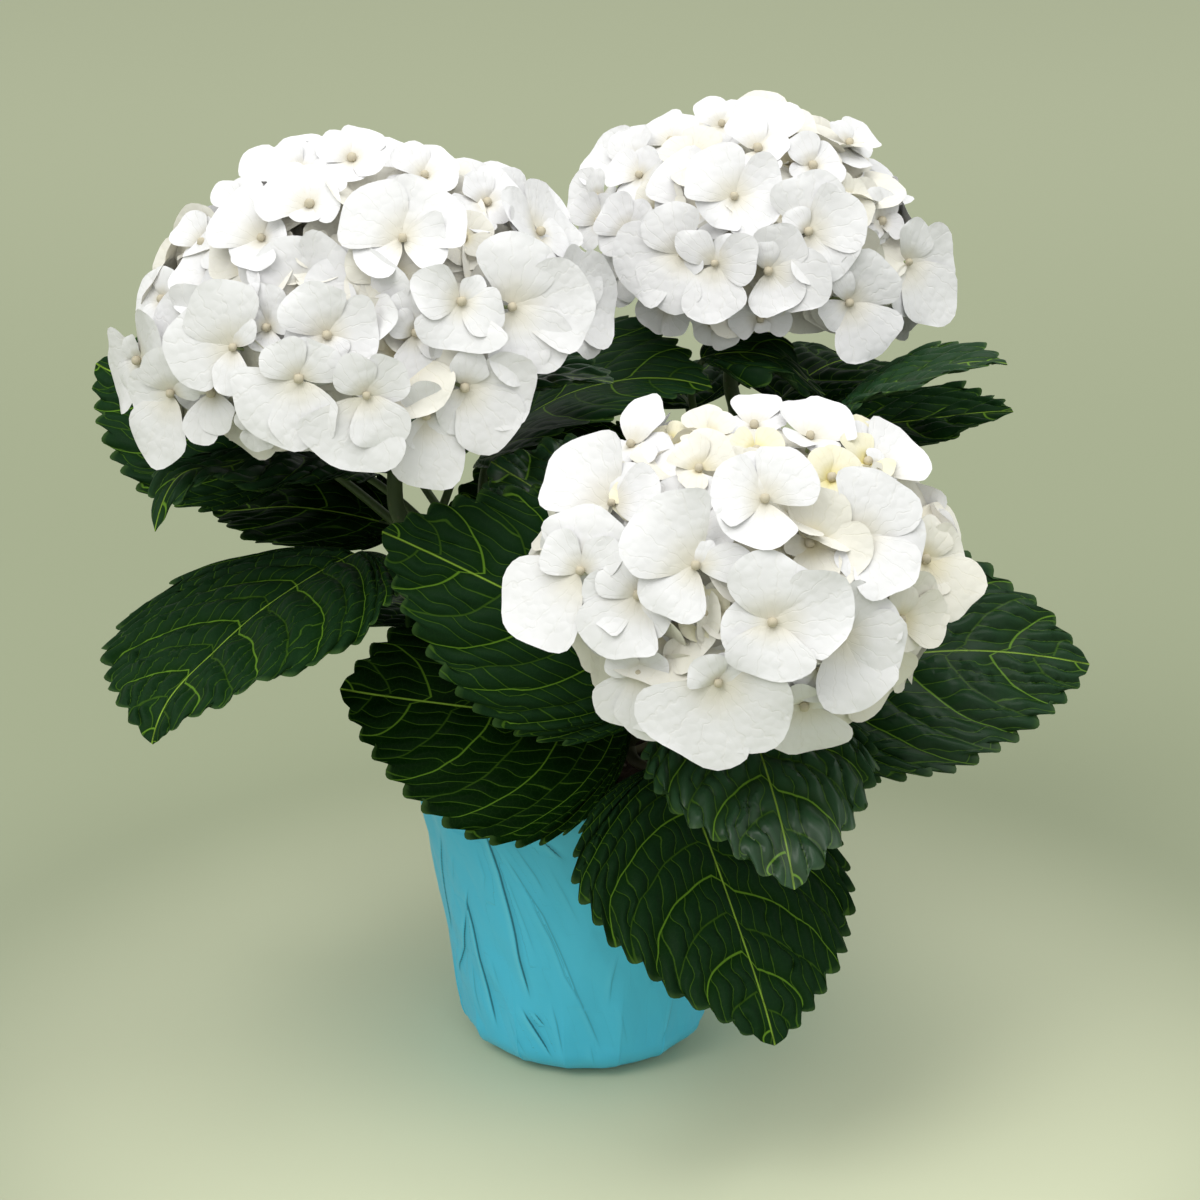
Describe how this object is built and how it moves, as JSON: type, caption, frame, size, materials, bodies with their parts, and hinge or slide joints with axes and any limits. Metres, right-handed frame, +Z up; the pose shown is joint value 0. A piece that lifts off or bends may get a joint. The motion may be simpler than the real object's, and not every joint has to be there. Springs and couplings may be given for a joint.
{
  "type": "potted hydrangea",
  "caption": "Potted florist's hydrangea: white mophead flower heads over large toothed dark green leaves, in a plastic pot dressed in turquoise film.",
  "frame": {"origin": "centre of the film's flat underside, on the surface the pot stands on", "axes": "+Z up; +X to the right and -Y towards the side that the lower, front flower head leans to"},
  "size_m": [0.3843, 0.3279, 0.3678],
  "materials": {
    "film": "satin turquoise florist's film, pleated and creased",
    "pot": "matte black nursery pot",
    "soil": "moist dark peat compost",
    "stem": "fresh green to light brown bark",
    "leaf": "satin dark green leaf with paler veins",
    "petal": "matte white to cream sepals"
  },
  "bodies": {
    "root": {"head_front": "petal", "head_left": "petal", "head_right": "petal", "leaf_back_left_low": "leaf", "leaf_back_left_up": "leaf", "leaf_back_low": "leaf", "leaf_back_right_low": "leaf", "leaf_back_right_middle": "leaf", "leaf_back_right_up": "leaf", "leaf_back_up": "leaf", "leaf_front_hanging": "leaf", "leaf_front_left": "leaf", "leaf_front_left_up": "leaf", "leaf_front_low_left": "leaf", "leaf_front_right": "leaf", "leaf_front_under": "leaf", "leaf_left_curled": "leaf", "leaf_left_far": "leaf", "leaf_left_low": "leaf", "leaf_left_shaded": "leaf", "leaf_middle_large": "leaf", "leaf_middle_shaded": "leaf", "leaf_middle_small": "leaf", "leaf_right_inner": "leaf", "leaf_right_lower": "leaf", "leaf_right_shaded": "leaf", "leaf_right_upper": "leaf", "leaf_side_right": "leaf", "leaf_side_right_low": "leaf", "pot": "pot", "pot_film": "film", "soil": "soil", "stem_front": "stem", "stem_left": "stem", "stem_right": "stem"}
  },
  "joints": []
}
